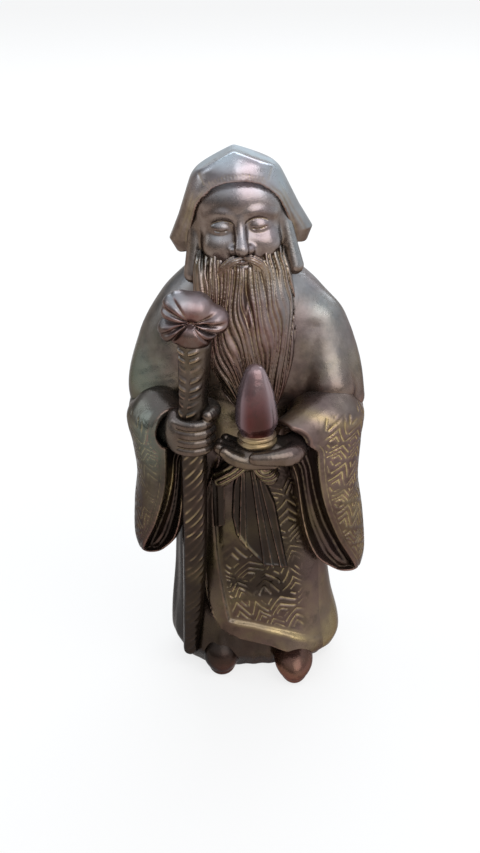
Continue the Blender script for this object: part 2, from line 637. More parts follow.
class Sleeve:
    """A hanging sleeve: a bag under the forearm with a deep folded mouth."""

    def __init__(self, robe, side, drop, reach, front, figured, elbow, wrist):
        self.robe = robe
        self.side, self.drop, self.reach, self.front, self.figured = side, drop, reach, front, figured
        self.elbow, self.wrist = np.array(elbow), np.array(wrist)

    def bag(self, p):
        """The bag's distance, its share of height, and its inner, outer and front faces."""
        x, y, z = self.side * p[0], p[1], p[2]
        share = (z - ELBOW_Z) / self.drop + 1
        outer = OUTER_X * sleeve_outset(share)
        inner = mix(TIP_X, self.reach, sleeve_inward(share))
        fore, rear = -self.front * sleeve_forward(share), REAR_Y * sleeve_back(share)
        bag = oval(x - (outer + inner) / 2, y - (fore + rear) / 2,
                   (outer - inner) / 2, (rear - fore) / 2, SLEEVE_SQUARENESS)
        bag = both(bag, -share * self.drop, 2.5)
        bag = both(bag, (share - self.top(x)) * self.drop, 4)
        return melt(bag, self.cuff(p, 9.2, 7.2, 0), 4), share, inner, outer, fore

    def top(self, x):
        """The share of height at which the bag ends, lower towards the elbow."""
        return 1.065 - 0.09 * ease(x, 18, 36)

    def cuff(self, p, at_elbow, at_wrist, beyond):
        """The round of the sleeve over the forearm, cut off at the wrist and back below it."""
        q = np.stack([self.side * p[0], p[1], p[2]])
        way = (self.wrist - self.elbow) / np.linalg.norm(self.wrist - self.elbow)
        past = way @ (q - self.wrist[:, None]) - beyond + 0.6 * np.maximum(self.wrist[2] - q[2], 0)
        return both(limb(q, [self.elbow, self.wrist + way * 6], (at_elbow, at_wrist)), past, 0.8)

    def mouth(self, p, share, inner, outer, fore):
        """The folded hollow in the bag's front, and the hole through the cuff."""
        wall = self.robe.cuff_wall / MM
        near = inner + wall - ease(share, 0.64, 0.82) * 3 * wall
        far = mix(inner, outer, mouth_share(share))
        depth = 13 * np.sqrt(ease(share, -0.04, 0.3) * ease(share, 0.985, 0.84)) + 0.01
        half = (far - near) / 2
        u = (self.side * p[0] - (near + far) / 2) / half
        into = p[1] - fore + wall
        folds = wave(2.0 * np.pi * u + 0.9 * np.sin(4.5 * share)) * ease(into, 2, 8)
        mouth = oval(u * half, into + self.robe.cuff_fold / MM * folds, half, depth, 2.2)
        mouth = np.maximum(mouth, np.maximum(0.05 - share, share - 0.98) * self.drop)
        return np.minimum(mouth, np.maximum(self.cuff(p, 5.0, 6.2, 5), -self.cuff(p, 11, 11, -6)))

    def lines(self, p):
        """The fret on the front of the sleeve, outside its border."""
        _, share, inner, outer, fore = self.bag(p)
        x, y, z = self.side * p[0], p[1], p[2]
        mouth = self.mouth(p, share, inner, outer, fore)
        place = ease(mouth, 2.6, 3.1) * ease(-y, 6, 10) * ease(share, 0.1, 0.2)
        turn = np.arctan2(x - (inner + outer) / 2, -4 - y)
        place = place * ease(share, 1.02, 0.98) * ease(turn, 1.5, 1.2)
        u = 26 + 17 * turn
        pattern = fret(u * 0.9 - 0.42 * z, z * 0.9 + 0.42 * u, self.robe.fret_pitch / MM * 0.95)
        return etch(pattern, x, z, self.robe) * place * self.figured

    def gilt(self, p):
        """Brass on the fret, rim, fold and elbow, and wax in the mouth and on the plain sleeve."""
        bag, share, inner, outer, fore = self.bag(p)
        mouth = self.mouth(p, share, inner, outer, fore)
        rim = bell(bag + 0.7, 0.9) * ease(mouth, 1.0, 0.4)
        rim = rim * ease(share, 0.15, 0.4) * ease(share, 0.9, 0.75)
        below = self.top(self.side * p[0]) - 0.035 - share
        ridge = bell(below * self.drop, 1.2) * ease(-p[1], 8, 14)
        wax = 0.5 * ease(-bag, 1.0, 2.5) + 0.45 * (1 - self.figured)
        past = mix(inner, outer, mouth_share(share)) - self.side * p[0]
        fold = bell(past - 2.0, 0.8) * ease(-bag, 0.5, 1.2) * ease(share, 0.1, 0.2)
        fold = fold * ease(share, 0.7, 0.5) * (1 - self.figured)
        rubbed = (1.3 - 0.7 * self.figured) * rim + 0.6 * ridge * self.figured + 2.4 * fold
        return 0.9 * self.lines(p) + rubbed - wax

    def field(self, p):
        bag, share, inner, outer, fore = self.bag(p)
        x, y, z = self.side * p[0], p[1], p[2]
        mouth = self.mouth(p, share, inner, outer, fore)
        hem = bell(mouth - 2.2, 0.4) * ease(mouth, 0.6, 1.4)
        hang = wave(0.75 * x + 0.13 * z) * ease(share, 0.75, 0.3) * ease(y, -6, 2) * 0.8
        relief = -0.3 * hem - self.robe.fret_depth / MM * self.lines(p) - hang * self.robe.fold_depth / MM
        return carve(bag - relief, mouth, 0.9)


# Head and hat

NECK_PIVOT = np.array([[0.0], [COLLAR_LEAN], [COLLAR_Z]])
HEAD_CENTRE = np.array([[0.0], [0.4], [158.04]])
HEAD_TILT, HEAD_ROLL = math.radians(-8), math.radians(-3)
TILT = np.array(Matrix.Rotation(HEAD_TILT, 3, "X"))
ROLL = np.array(Matrix.Rotation(HEAD_ROLL, 3, "Y"))
FACE_Y, EYE_Z = -14.6, 156.0


def in_head(p):
    """Points as the level head sees them."""
    q = TILT.T @ (p - NECK_PIVOT) + NECK_PIVOT
    return ROLL.T @ (q - HEAD_CENTRE) + HEAD_CENTRE


def on_face(dx, dy, dz):
    return dx, FACE_Y + dy, EYE_Z + dz


def head_field(p, head):
    p = in_head(p)
    x, y, z = p
    half = np.stack([np.abs(x), y, z])
    skull = ball(p, (0, 0.4, 158), (15, 15, 15))
    skull = melt(skull, ball(p, (0, -2.4, 164), (12.8, 12.2, 10.5)), 3)
    skull = melt(skull, ball(half, (6.2, -2.2, 162), (8.2, 9.8, 9.5)), 3)
    face = melt(skull, ball(p, (0, -2.6, 148.2), (11.6, 11.6, 10.4)), 4)
    face = melt(face, ball(half, on_face(6.8, 4.6, -6.2), (4.8, 4.2, 4.4)), 4)
    face = melt(face, ball(p, on_face(0, 3.6, -10.5), (5.6, 4.6, 4.6)), 2.4)
    face = carve(face, ball(half, on_face(5.4, -1.2, 0.2), (4.2, 2.6, 2.5)), 2.6)
    brow = [on_face(1.3, 1.5, 3.0), on_face(5, 1.3, 4.5), on_face(10, 4.6, 3.2)]
    face = melt(face, bend(half, brow, (0.9, 1.15, 0.8)), 1.8)
    lids = ball(half, on_face(5.5, 3.7, 0), (3.6, 3.0, 2.5))
    lash = [on_face(2.5, 2.1, -0.3), on_face(5.5, 0.8, -1.0), on_face(8.4, 2.2, -0.2)]
    eyes = carve(lids, bend(half, lash, (0.25, 0.42, 0.25)), 0.2)
    crease = bell(np.hypot(half[0] - 5.4, z - EYE_Z + 3.2) - 5.6, 0.3) * ease(z, EYE_Z, EYE_Z + 1)
    face = melt(face, eyes, 0.8) + 0.3 * crease * ease(-y, 9, 11) * ease(half[0], 9, 8)
    nose = bend(p, [on_face(0, 1.5, 2.4), on_face(0, -0.2, -2), on_face(0, -2.4, -6.2)], (1.5, 1.6, 2.2))
    wings = ball(half, on_face(2.3, -0.4, -6.6), (1.6, 1.9, 1.5))
    face = melt(face, melt(nose, wings, 0.9), 1.5)
    face = carve(face, ball(half, on_face(0.95, -2.0, -7.9), (0.55, 0.9, 0.5)), 0.4)
    fold = [on_face(3.3, 0.2, -6.2), on_face(4.6, 0.8, -7.6), on_face(5.2, 1.5, -9.0)]
    face = carve(face, bend(half, fold, (0.3, 0.35, 0.2)), 0.8)
    upper = [on_face(0, -1.0, -10.4), on_face(1.4, -0.8, -10.1), on_face(3.8, 0.7, -10.8)]
    lower = [on_face(0, -0.7, -12.1), on_face(1.6, -0.4, -12.0), on_face(3.5, 0.9, -11.2)]
    lips = np.minimum(bend(half, upper, (0.75, 0.85, 0.4)), bend(half, lower, (0.95, 0.9, 0.4)))
    face = melt(face, lips, 0.8)
    ear = np.stack([half[0], y / 1.35, z])
    lobe = bend(ear, [(13.2, -2.6, 159), (14.4, -3.4, 151), (15.8, -3.8, 141.4)], (2.5, 2.4, 2.9))
    face = melt(face, lobe, 1.4)
    neck = np.maximum(np.hypot(x, y - 3) - 7.3, np.maximum(131.5 - z, z - 150))
    nape = ball(p, (0, 5, 149), (17.2, 9.5, 13))
    return melt(melt(face, nape, 1.5), neck, 2)


BRIM_HALF = ((138, 18.6), (147, 17.0), (151, 16.0), (157, 14.6), (163.6, 12.2), (168.3, 7.4), (169.9, 2.8),
             (170, 0.1))
BRIM = [(-x, z) for z, x in BRIM_HALF] + [(x, z) for z, x in BRIM_HALF[::-1]]
brim_half = curve(*zip(*BRIM_HALF))
HAT_LOW, HAT_EAVES, HAT_RIDGE = 146.8, 172.5, 178.8
HAT_KEYS = (HAT_LOW, 151.4, 159, 168, HAT_EAVES, HAT_RIDGE)
EAVES_HALF = 13.4
HAT_HALF = (20.6, 22.6, 18.9, 15.3, EAVES_HALF, 13.2)
hat_front = curve(HAT_KEYS, (-3.4, -6.4, -11.6, -14.9, -14.2, -10.4))
hat_back = curve(HAT_KEYS, (18.9, 18.9, 18.4, 16.5, 13.4, 6.5))


def hood(p, inset):
    """The hood's wall, creased down its front, and its gabled roof."""
    x, y, z = p
    front, back = hat_front(z) + inset, hat_back(z) - inset
    wall = oval(x, y - (front + back) / 2, np.interp(z, HAT_KEYS, HAT_HALF) - inset, (back - front) / 2, 2.6)
    slope = (HAT_RIDGE - HAT_EAVES) / EAVES_HALF
    roof = (z - HAT_RIDGE + inset + slope * np.sqrt(x * x + 0.3)) / math.hypot(1, slope)
    fold = np.maximum(1 - np.sqrt(x * x + 0.4) / 11, 0) * ease(z, 167, 171) * ease(-y, 2, 6)
    return both(wall - 1.9 * fold, roof, 1.7)


def hat_brim(p):
    """Distance above the brim, in the front plane."""
    x, z = p[0], p[2]
    return limb(np.stack([x, z]), BRIM) * np.where((np.abs(x) < brim_half(z)) & (z < 170), -1, 1)


def hat_lines(p, head):
    """The hatched band over the brow, the tacks at its ends, and the edge lines of the flaps."""
    p = in_head(p)
    x, y, z = np.abs(p[0]), p[1], p[2]
    brim = hat_brim(p)
    turn = np.arctan2(x, z - 150)
    hatch = wave(turn * 20 * 2 * np.pi / (head.stitch_pitch / MM)) * ease(brim, 0.7, 0.9)
    hatch = hatch * ease(brim, 2.5, 2.2) * ease(x, 9, 8.5)
    tack = line(x, z, ((9.8, 169.6), (11.0, 172.4)), 0.4)
    edge = bell(brim - 1.3, 0.35) * ease(x, 9.5, 11)
    rim = np.interp(z, HAT_KEYS, HAT_HALF) - x
    outer = bell(rim - 2.4, 0.45) * ease(170 - z, 0, 6)
    return np.clip(hatch + tack + edge + outer, 0, 1) * ease(-y, 0, 3)


def hat_field(p, head):
    lines = hat_lines(p, head)
    p = in_head(p)
    x, y, z = p
    shell = hood(p, 0.0) + head.stitch_depth / MM * lines
    shell = both(shell, HAT_LOW + 0.3 * np.maximum(19.5 - np.abs(x), 0) - z, 0.6)
    inner = np.maximum(hood(p, 2.4), z - 166)
    window = np.maximum(hat_brim(p), y + 1.9)
    return carve(carve(shell, inner, 0.8), window, 0.5)


# Beard

BEARD_TOP, BEARD_LENGTH = 149.2, 52.0
BEARD_KEYS = (0, 0.1, 0.25, 0.5, 0.75, 0.9, 1)
beard_half = curve(BEARD_KEYS, np.array((0.1, 0.4, 0.68, 0.93, 1, 0.96, 0.86)) * 15.5)
beard_y = curve(BEARD_KEYS, np.array((1, 0.98, 0.9, 0.76, 0.585, 0.46, 0.39)) * -20.5)
beard_thick = curve(BEARD_KEYS, np.array((0.35, 0.7, 0.9, 1, 1.1, 1.15, 1.2)) * 6.5)
# The line on the cheek where the beard begins, from the middle out to the ear.
cheek_line = curve((0, 4, 7, 11, 14), (143.2, 145.0, 146.2, 147.2, 148.0))


def strands(across, down, head):
    """Height of long hair that sways as it falls: locks, and strands upon them."""
    sway = 0.07 * np.sin(6.5 * down + 2.5 * across) + 0.03 * np.sin(13 * down + 8 * across)
    s = across + sway * ease(down, 0, 0.35)
    count = 31 / (head.strand_pitch / MM)
    fine = wave(np.pi * count * s + 2.2 * np.sin(8 * down + 5 * s) + 1.1 * np.sin(19 * s + 5 * down))
    locks = wave(np.pi * count * 0.3 * s + 1.4 * np.sin(5 * down + 3 * s))
    return 0.6 * np.sqrt(fine + 0.02) + 0.65 * locks


def beard_field(p, head):
    x, y, z = p
    up = 1 - (BEARD_TOP - z) / BEARD_LENGTH
    middle = 4.0 * np.clip(1 - up, 0, 1) ** 1.5
    half = beard_half(up)
    tongue = oval(x - middle, y - beard_y(up), half, beard_thick(up), 2.1)
    tongue = both(tongue, -up * BEARD_LENGTH, 1.5)
    q = in_head(p)
    cheek = np.stack([np.abs(q[0]), q[1], q[2]])
    across = (x - middle) / np.maximum(half, 3)
    hair = strands(across, 1 - up, head) * head.strand_depth / MM
    below = cheek_line(cheek[0]) - q[2] + 1.5 * (hair - 0.7)
    lift = 0.42 * (below + 1 + np.hypot(below + 1, 1.2)) - 0.8
    tongue = both(tongue - hair + 0.6, head_field(p, head) - lift - 0.6 * hair * ease(below, -1.5, 2.5), 0.8)
    tongue = both(tongue, z - 158, 1)
    tuft = bend(q, [on_face(0, 0.4, -13.6), on_face(0, 0.0, -16), on_face(0, 0.6, -20)], (1.1, 1.9, 1.6))
    tongue = melt(tongue, tuft - 0.4 * hair, 1.8)
    sweep = [on_face(0.9, -1.5, -8.9), on_face(3.4, -1.4, -9.9), on_face(6.4, 0.2, -13.2),
             on_face(7.6, 0.9, -19.5)]
    moustache = bend(cheek, sweep, (0.9, 1.5, 1.6, 0.6))
    parting = spline([(0.5, EYE_Z - 7.6), (4, EYE_Z - 8.4), (8.0, EYE_Z - 12.3), (9.4, EYE_Z - 19)], 12)
    comb = wave(8.5 * limb(cheek[[0, 2]], parting))
    return melt(tongue, moustache - 0.4 * comb + 0.2, 0.9)


def beard_gilt(p):
    """Brass where the beard begins, and dark wax towards its tip."""
    return 0.2 * ease(p[2], 137, 145) - 0.4 * ease(-p[2], -134, -114)


# Staff and knob

GRIP = np.array([-16.4, -27.0, 98.0])
STAFF_STEPS = 26
STAFF_PATH = spline([(-21.5, -12.9, 8), (-18.3, -22.8, 48.5), GRIP, (-14.76, -27, 127)], STAFF_STEPS)
STAFF_RADII = curve((0, 1 / 3, 2 / 3, 1), (2.9, 4.1, 4.5, 5.4))(np.linspace(0, 1, STAFF_STEPS))
staff_x = curve(STAFF_PATH[:, 2], STAFF_PATH[:, 0])
staff_y = curve(STAFF_PATH[:, 2], STAFF_PATH[:, 1])


def staff_marks(p):
    """The turn round the staff, and how high its marks are: strokes below the hand, leaves above."""
    x, y, z = p
    side = x - staff_x(z)
    turn = np.arctan2(side, staff_y(z) - y)
    strokes = wave(1.9 * (z - 1.1 * side) + 0.6 * np.sin(0.4 * z)) ** 1.6
    strokes = strokes * ease(turn, -1.0, -0.5) * ease(turn, 0.95, 0.5)
    fade = 0.35 + 0.65 * wave(0.83 * z + 1.3 * np.sin(0.5 * z))
    strokes = strokes * fade * (0.35 + 0.65 * ease(z, 38, 60))
    seam = turn + 0.5 + 0.15 * np.sin(0.2 * z)
    leaves = wave(2.1 * z - 4.2 * np.abs(seam) + 0.7 * np.sin(0.45 * z)) ** 1.4 * ease(np.abs(seam), 1.0, 0.5)
    leaves = leaves * ease(np.abs(seam), 0.04, 0.2) * (0.5 + 0.5 * wave(0.6 * z))
    return turn, mix(strokes, 1.2 * leaves, ease(z, 97, 103))


def staff_field(p, staff):
    z = p[2]
    turn, marks = staff_marks(p)
    grain = 0.3 * wave(7.0 * turn + 0.3 * np.sin(0.3 * z)) * ease(turn, -0.3, -0.8)
    bark = (0.75 * marks + grain) * ease(np.cos(turn), -0.1, 0.4) - 0.3
    shaft = limb(p, STAFF_PATH, STAFF_RADII) - staff.bark_depth / MM * bark
    return both(shaft, z - 130, 1)


def staff_gilt(p):
    """Dark wax, heaviest below the hand, rubbed off the marks."""
    low = 1 - ease(p[2], 90, 100)
    return (0.6 + 0.85 * low) * staff_marks(p)[1] - 0.35 - 0.3 * low


# The eye that the burl's gashes run to, and its lobes.
KNOB_EYE_X, KNOB_EYE_Z = -15.6, 135.6
KNOB_LOBES = (
    ((-18.6, -26.8, 138.8), (5.8, 6.2, 5.6)),
    ((-13.6, -26.0, 138.0), (5.2, 6.2, 5.4)),
    ((-8.4, -26.6, 134.6), (4.5, 5.6, 4.6)),
    ((-21.4, -27.2, 132.8), (4.2, 5.2, 4.4)),
    ((-14.8, -28.0, 131.0), (6.2, 5.4, 5.0)),
)


def knob_field(p, staff):
    burl = ball(p, *KNOB_LOBES[0])
    for centre, radii in KNOB_LOBES[1:]:
        burl = melt(burl, ball(p, centre, radii), 1.6)
    x, y, z = p
    turn = np.arctan2(x - KNOB_EYE_X, z - KNOB_EYE_Z)
    far = np.hypot(x - KNOB_EYE_X, (z - KNOB_EYE_Z) * 1.1)
    gash = wave(14 * turn + 0.8 * np.sin(3 * turn) + 0.25 * far) ** 2
    gash = gash * ease(far, 0.3, 1.4) * ease(far, 12.0, 7.0) * ease(np.abs(turn), 2.7, 2.3)
    gash = gash * np.where(turn < 0, ease(turn, -0.35, -0.7), ease(turn, 1.15, 1.5))
    pit = bell(far, 1.5)
    burl = burl + staff.bark_depth / MM * (1.6 * gash + 1.1 * pit) * ease(-y, 24, 27)
    return np.maximum(burl, 126 - z)


def knob_gilt(p):
    """Dark wax under the burl's lobes."""
    return -0.5 * ease(p[2] + 0.25 * p[0], 132, 126)


# Peach and hands

PALM_TOP = 95.5
PEACH_X, PEACH_Y = 3.2, -31.0
PEACH_HEIGHT, PEACH_RADIUS = 26.5, 6.7
PEACH_KEYS = np.array((0, 0.04, 0.1, 0.3, 0.6, 0.85, 0.95, 1)) * PEACH_HEIGHT
peach_radius = curve(PEACH_KEYS, np.array((0.78, 0.8, 0.74, 1, 0.86, 0.56, 0.38, 0.2)) * PEACH_RADIUS)


def peach_field(p, fruit):
    x, y, z = p[0] - PEACH_X, p[1] - PEACH_Y, p[2] - PALM_TOP
    turn = np.arctan2(x, -y)
    ray = np.hypot(x, y)
    radius = peach_radius(z)
    body = oval(0.99 * x + 0.14 * y, 0.99 * y - 0.14 * x, radius * 0.98, radius * 0.98, 2.4) * 0.9
    cleft = bell(turn - 0.95, 0.16) * ease(z, 4, 8) * ease(z, 26, 20)
    body = body + fruit.cleft_depth / MM * cleft
    body = both(body, z - 26.3, 2.2)
    body = both(body, -z - 0.6, 0.5)
    ring = np.hypot(ray - 5.2, z - 2.6) - 0.85
    return melt(body, np.minimum(ring, np.hypot(ray - 5.4, z - 0.8) - 0.8), 0.35)


def peach_gilt(p):
    """Brass on the rings where the peach stands on the palm, and a dark blush low on its front."""
    x, z = p[0] - PEACH_X, p[2] - PALM_TOP
    blush = 0.6 * bell(x - 0.9, 3.4) * bell(z - 8.5, 6.5) * ease(z, 3.4, 5)
    return 0.9 * ease(z, 4.2, 3.0) - blush


def right_hand_field(p, hands):
    """A fist round the staff: the back and heel of the hand, four fingers, the thumb and the forearm."""
    radius = hands.finger_radius / MM
    round_staff = 4.5 + radius * 0.85
    pitch = radius * 1.76

    def wrap(height, first, last):
        """Points round the staff between two turns in degrees."""
        middle = staff_x(height)
        turns = np.radians(np.linspace(first, last, 6))
        return [(middle + round_staff * math.sin(turn), GRIP[1] - round_staff * math.cos(turn), height)
                for turn in turns]

    back = ball(p, GRIP + (-round_staff * 0.9, round_staff * 0.15, 0),
                (radius * 2.4, round_staff * 1.1, pitch * 2.4))
    heel = ball(p, GRIP + (-round_staff * 0.1, round_staff * 0.95, pitch * 0.3),
                (round_staff * 0.95, radius * 1.3, pitch * 2.2))
    hand = melt(back, heel, 2)
    for row, size in ((1.5, 1.0), (0.5, 1.06), (-0.5, 1.0), (-1.5, 0.88)):
        path = wrap(GRIP[2] + row * pitch, -108, 74)
        finger = bend(p, path, np.array((1.0, 1.12, 0.98, 1.06, 0.98, 0.86)) * radius * size)
        hand = melt(hand, finger, 0.5)
    thumb = wrap(GRIP[2] + 2.4 * pitch, 170, 48)
    hand = melt(hand, bend(p, thumb, np.array((1.5, 1.55, 1.5, 1.6, 1.5, 1.2)) * radius), 0.5)
    wrist = GRIP + (-round_staff, round_staff * 0.6, -pitch * 0.6)
    arm = limb(p, [wrist, (-28.1, -13.1, 94.5)], (4.6, 4.2))
    return melt(hand, arm, 1.5)


def left_hand_field(p, hands):
    """An open palm under the peach: four fingers, the thumb and the forearm."""
    size = np.array([21.0, 15.0, 8.0])
    centre = np.array([PEACH_X, PEACH_Y, PALM_TOP]) + size * (0.12, 0.08, -0.42)

    def at(*share):
        return centre + size * share

    radius = hands.finger_radius / MM * 1.32
    hand = ball(p, centre, size * 0.5)
    for row, tip in ((-0.36, 0.6), (-0.13, 0.68), (0.1, 0.66), (0.33, 0.58)):
        path = [at(0.1, row, -0.2), at(-0.28, row, -0.18), at(-tip * 0.82, row * 0.95, 0.02),
                at(-tip, row * 0.9, 0.24)]
        hand = melt(hand, bend(p, path, np.array((1.1, 1.1, 1.02, 0.8)) * radius), 0.8)
    thumb = [at(0.5, 0.05, 0.02), at(0.36, -0.4, 0.1), at(0.1, -0.57, 0.16), at(-0.16, -0.58, 0.16)]
    hand = melt(hand, bend(p, thumb, np.array((1.55, 1.5, 1.15, 0.9)) * radius), 0.7)
    arm = limb(p, [at(0.42, 0.1, 0.1), (28.1, -15.6, 94.5)], (3.9, 3.9))
    hand = melt(hand, arm, 1.5)
    return np.maximum(hand, p[2] - PALM_TOP - 1.4)


# Sash and shoes

def front_y(x, z):
    """The skirt's front at a place in the front plane."""
    share = np.minimum(np.abs(2 * x / skirt_width(z)), 1) ** ROBE_SQUARENESS
    return lean(z) - skirt_depth(z) / 2 * (1 - share) ** (1 / ROBE_SQUARENESS)


SASH_Z = 82.0


def bow_streaks(p):
    """The phase of the petal's streaks, and of the roll's scallops."""
    along = limb(p[[0, 2]], [(-1, SASH_Z - 0.4), (-9.4, SASH_Z - 6)])
    return 4.0 * along, 4.2 * np.hypot(p[0] - 6.2, p[2] - SASH_Z + 0.4)


def bow_gilt(p):
    """Brass along the streaks of the petal and the scallops of the roll."""
    streaks, scallops = bow_streaks(p)
    return 0.45 * wave(np.where(p[0] < 0, streaks, scallops) + np.pi) ** 2


def bow_field(p, sash):
    """A knot with a streaked petal on one side and a scalloped roll on the other."""
    knot_y = front_y(np.zeros(1), np.full(1, SASH_Z))[0] - 2.2

    def at(dx, dy, dz):
        return dx, knot_y + dy, SASH_Z + dz

    knot = ball(p, at(0, 0, 0), (3.1, 2.8, 3.2)) - 0.25 * wave(3.2 * p[0])
    half_depth = 0.5 * sash.pleat_depth / MM
    streaks, scallops = bow_streaks(p)
    petal = bend(p, [at(-0.5, 0, 0), at(-5, -0.6, -2.4), at(-8.6, 0.4, -5.4)], (1.6, 2.9, 2.9))
    petal = petal - half_depth * wave(streaks)
    roll = bend(p, [at(0.5, 0, 0), at(4, -0.4, -1.8), at(6.8, 0.2, -4.8)], (1.5, 2.6, 3.1))
    roll = roll - half_depth * wave(scallops)
    return melt(melt(petal, roll, 0.4), knot, 0.5)


TAIL_TOP = 81.0
TAIL_OUTLINE = ((-2.6, TAIL_TOP), (-5.0, 73), (-5.8, 62), (-4.6, 55), (0.7, 47.4), (4.4, 43.4), (12.3, 41.6),
                (8.7, 66), (3.2, TAIL_TOP))
# Each pleat's edge across the fan, and how far the strip beyond it steps up.
TAIL_PLEATS = ((0.1, 0.4), (0.25, -0.6), (0.57, 0.5), (0.72, -0.4), (0.87, 0.35))
SHORT_TAIL = ((-11.8, 78), (-7.4, 78), (-8.0, 58.4), (-12.4, 57.6))


def tail_pleats(x, z):
    """How far a place lies past each pleat's edge, and how far the strip beyond it steps up."""
    down = np.clip((TAIL_TOP - z) / 39, 0, 1.1)
    left, right = mix(-2.6, -6.0, down), mix(3.2, 12.3, down)
    return [(x - mix(left, right, place), rise) for place, rise in TAIL_PLEATS]


def tails_gilt(p):
    """Dark wax on the strips, rubbed off along their edges, and brass on the tip of the swept hem."""
    x, z = p[0], p[2]
    edges = [bell(past - 0.15, 0.3) * wave(0.22 * z + 9 * rise) for past, rise in tail_pleats(x, z)]
    tip = line(x, z, ((-3.6, 55.4), (-0.4, 50.4), (2.2, 47.4)), 0.7)
    return 0.85 * np.max(edges, 0) + 1.2 * tip - 0.65


def tails_field(p, sash):
    """Two sash ends: a fan of knife pleats with a swept hem, and a short strip beside it."""
    x, y, z = p
    proud = front_y(x, z) - y
    depth = sash.pleat_depth / MM
    ply = 0.7 + np.clip((TAIL_TOP - z) / 78, 0, 0.5)
    for past, rise in tail_pleats(x, z):
        ply = ply + depth * (rise * ease(past, -0.15, 0.15) + 0.5 * bell(past - 0.15, 0.32))
    edge = region(x, z, TAIL_OUTLINE)
    hem = 0.45 * bell(edge + 0.7, 0.45)
    fan = both(0.8 * (proud - ply - hem), edge, 0.5)
    strip = both(proud - 1.1 - 0.5 * depth * wave(1.9 * (x + 10)), region(x, z, SHORT_TAIL), 0.5)
    return np.maximum(melt(fan, strip, 0.3), -0.8 - proud)


def shoe_field(p, x_middle, toe_reach, height, shoes):
    """A rounded shoe whose toe reaches out under the hem, with a welt round its sole."""
    x, y, z = p
    front = front_y(np.full(1, x_middle), np.zeros(1))[0]
    half = (toe_reach + 9) / 2
    narrow = 0.78 + 0.22 * ease(z, 0, 6)
    foot = np.stack([(x - x_middle) / narrow, y, z])
    dome = ball(foot, (0, front - toe_reach + half, 4.2), (6.4, half, height))
    vamp = limb(foot, [(0, front - toe_reach * 0.45, height - 2), (0, front + 2.5, height + 2)], (5.2, 5.0))
    dome = melt(dome, vamp, 3.5) * narrow
    dome = dome + shoes.welt_depth / MM * bell(z - 1.8, 0.4)
    return both(dome, -z, 0.6)


def shoe_gilt(p):
    """Dark wax on the uppers, thicker on the right shoe, whose inner side is rubbed to brass."""
    x, z = p[0], p[2]
    side = 0.9 * ease(x, -8.6, -6.6) * ease(x, 0, -5) * ease(z, 7, 3)
    return side - 0.45 * ease(z, 3, 9) - 0.45 * ease(x, 2, -2)


# Settings

def size(name, default, description):
    return bpy.props.FloatProperty(name=name, description=description, default=default * MM, min=0.0,
                                   precision=5, unit="LENGTH")


def paint(name, default, description):
    return bpy.props.FloatVectorProperty(name=name, description=description, default=default, size=3,
                                         min=0.0, max=1.0, subtype="COLOR")


def share(name, default, description):
    return bpy.props.FloatProperty(name=name, description=description, default=default, min=0.0, max=1.0,
                                   subtype="FACTOR")


def power(name, default, description):
    return bpy.props.FloatProperty(name=name, description=description, default=default, min=0.0, unit="POWER")


class SAGE_PG_finish(bpy.types.PropertyGroup):
    patina: paint("Patina", (0.09, 0.054, 0.038), "Red-brown of the even patina")
    olive: paint("Olive", (0.13, 0.1, 0.045), "Olive-brown clouds in the patina")
    purple: paint("Purple", (0.115, 0.07, 0.068), "Purple-brown drift on cloth")
    red: paint("Red", (0.16, 0.05, 0.041), "Red-brown drift on skin, hair and fruit")
    ruby: paint("Ruby", (0.085, 0.018, 0.017), "Dark red of the fruit")
    dark: paint("Dark", (0.028, 0.018, 0.013), "Dark specks and drift")
    sheen: paint("Sheen", (0.27, 0.2, 0.09), "Brassy sheen where the patina is thin")
    pale: paint("Pale", (0.24, 0.185, 0.155), "Lighter brown where the upper figure is handled")
    bloom: paint("Bloom", (0.46, 0.54, 0.6), "Cool grey bloom on faces that look up")
    mauve: paint("Mauve", (0.4, 0.33, 0.36), "Mauve bloom between the cool patches")
    verdigris: paint("Verdigris", (0.13, 0.18, 0.155), "Green-grey tinge of the right arm")
    bloom_share: share("Bloom share", 0.8, "How much of the bloom shows")
    edge: paint("Edge", (0.3, 0.25, 0.22), "Tint of reflections at a shallow angle")
    rubbed: paint("Rubbed", (0.3, 0.16, 0.12), "Copper where crests are rubbed")
    brass: paint("Brass", (0.45, 0.34, 0.17), "Brass in grooves and engraved lines")
    soot: paint("Soot", (0.022, 0.014, 0.01), "Dark wax in the depths")
    metal: share("Metal", 0.85, "How metallic the surface is under its patina")
    lacquer: share("Lacquer", 0.18, "Clear lacquer over the patina")


class SAGE_PG_robe(bpy.types.PropertyGroup):
    fold_depth: size("Fold depth", 0.9, "Depth of the soft folds in the cloth")
    cuff_fold: size("Cuff fold", 1.7, "Depth of the folds inside the cuffs")
    cuff_wall: size("Cuff wall", 1.9, "Thickness of the cuff's edge")
    fret_pitch: size("Fret pitch", 7.8, "Height of one row of the fret pattern")
    fret_width: size("Fret width", 0.3, "Half width of an engraved line")
    fret_depth: size("Fret depth", 0.5, "Depth of an engraved line")


class SAGE_PG_head(bpy.types.PropertyGroup):
    strand_pitch: size("Strand pitch", 1.5, "Width of one strand of hair")
    strand_depth: size("Strand depth", 1.05, "Depth between strands")
    stitch_pitch: size("Stitch pitch", 0.95, "Spacing of the hatched band on the hat")
    stitch_depth: size("Stitch depth", 0.18, "Depth of the hatched band")


class SAGE_PG_staff(bpy.types.PropertyGroup):
    bark_depth: size("Bark depth", 0.8, "Depth of the gnarled bark")


class SAGE_PG_held(bpy.types.PropertyGroup):
    finger_radius: size("Finger radius", 1.65, "Radius of the fingers round the staff")
    cleft_depth: size("Cleft depth", 0.25, "Depth of the peach's cleft")
    pleat_depth: size("Pleat depth", 0.9, "Depth of the pleats in the sash")
    welt_depth: size("Welt depth", 0.3, "Depth of the shoe's welt line")


